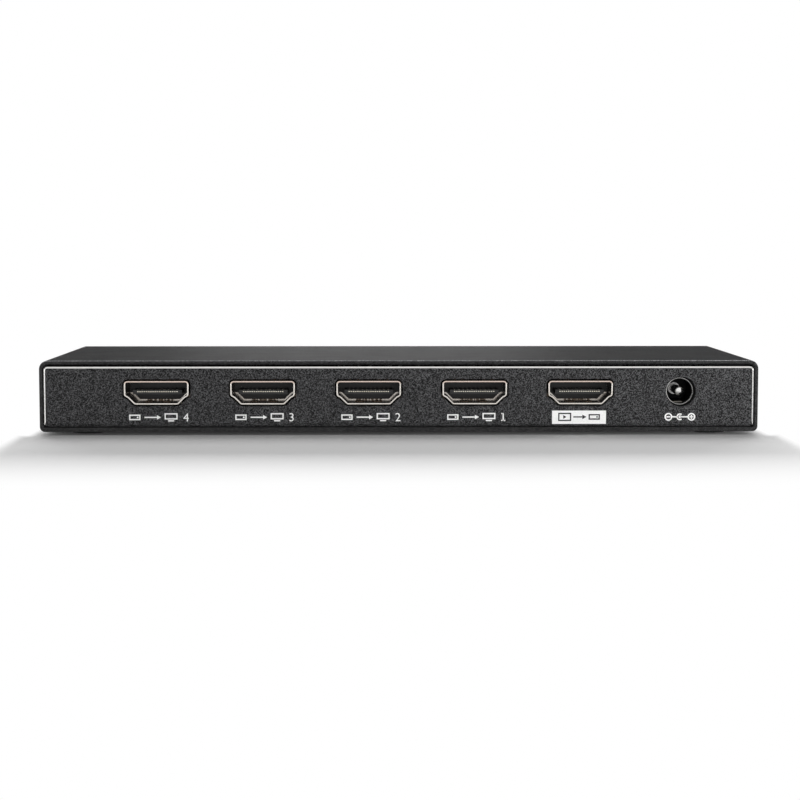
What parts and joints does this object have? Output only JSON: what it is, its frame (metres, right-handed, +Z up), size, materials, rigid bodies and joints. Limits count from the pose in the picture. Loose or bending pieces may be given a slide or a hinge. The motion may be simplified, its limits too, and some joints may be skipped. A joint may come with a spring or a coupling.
{
  "type": "video splitter",
  "caption": "Slim black metal box with a row of video sockets and a barrel power jack on its rear panel, which copies one video input to several screens.",
  "frame": {"origin": "middle of the footprint, on the surface that the feet stand on", "axes": "+X along the socket row, to the right as seen from the rear; the rear panel faces -Y; +Z up"},
  "size_m": [0.165, 0.0608, 0.0172],
  "materials": {
    "case_coat": "black fine-texture powder coat",
    "tray_coat": "black fine-texture powder coat with bare bevelled edges",
    "plated_shell": "nickel plate",
    "socket_plastic": "black moulded",
    "contact_plate": "gold flash on copper alloy",
    "jack_plastic": "black moulded",
    "pin_steel": "nickel plate",
    "spring_strip": "tinned copper alloy",
    "foot_rubber": "matt black",
    "screw_black": "black zinc",
    "zinc_hardware": "zinc plate",
    "board_laminate": "green solder mask",
    "chip_mould": "black epoxy",
    "pad_grey": "grey silicone",
    "sink_metal": "natural extrusion",
    "can_metal": "bright can",
    "ferrite": "moulded ferrite",
    "ceramic": "tan ceramic",
    "lamp_resin": "clear resin",
    "pipe_clear": "clear moulded"
  },
  "bodies": {
    "splitter": {"case_sleeve": "case_coat", "chassis_tray": "tray_coat", "rubber_feet": "foot_rubber", "case_screws": "screw_black", "clinch_nuts": "zinc_hardware", "circuit_board": "board_laminate", "board_standoffs": "zinc_hardware", "board_screws": "zinc_hardware", "output_4_shell": "plated_shell", "output_4_insulator": "socket_plastic", "output_4_contacts": "contact_plate", "output_3_shell": "plated_shell", "output_3_insulator": "socket_plastic", "output_3_contacts": "contact_plate", "output_2_shell": "plated_shell", "output_2_insulator": "socket_plastic", "output_2_contacts": "contact_plate", "output_1_shell": "plated_shell", "output_1_insulator": "socket_plastic", "output_1_contacts": "contact_plate", "input_shell": "plated_shell", "input_insulator": "socket_plastic", "input_contacts": "contact_plate", "jack_body": "jack_plastic", "jack_ring": "pin_steel", "jack_centre_pin": "pin_steel", "jack_pin_terminal": "spring_strip", "jack_leaf_terminal": "spring_strip", "light_pipe": "pipe_clear", "status_lamps": "lamp_resin", "splitter_chip": "chip_mould", "thermal_pad": "pad_grey", "heatsink": "sink_metal", "memory_chip": "chip_mould", "clock_crystal": "can_metal", "regulator_chip": "chip_mould", "power_inductor": "ferrite", "input_capacitors": "can_metal", "filter_capacitors": "ceramic", "surge_arrays": "chip_mould"},
    "leaf_contact": {"jack_leaf": "spring_strip"}
  },
  "joints": [
    {"name": "leaf_flex", "type": "hinge", "parent": "splitter", "child": "leaf_contact", "pos_m": [0.06463, -0.017, 0.00682], "axis": [1, 0, 0], "range_deg": [0, 4.5], "stiffness_Nm_per_rad": 0.3}
  ]
}
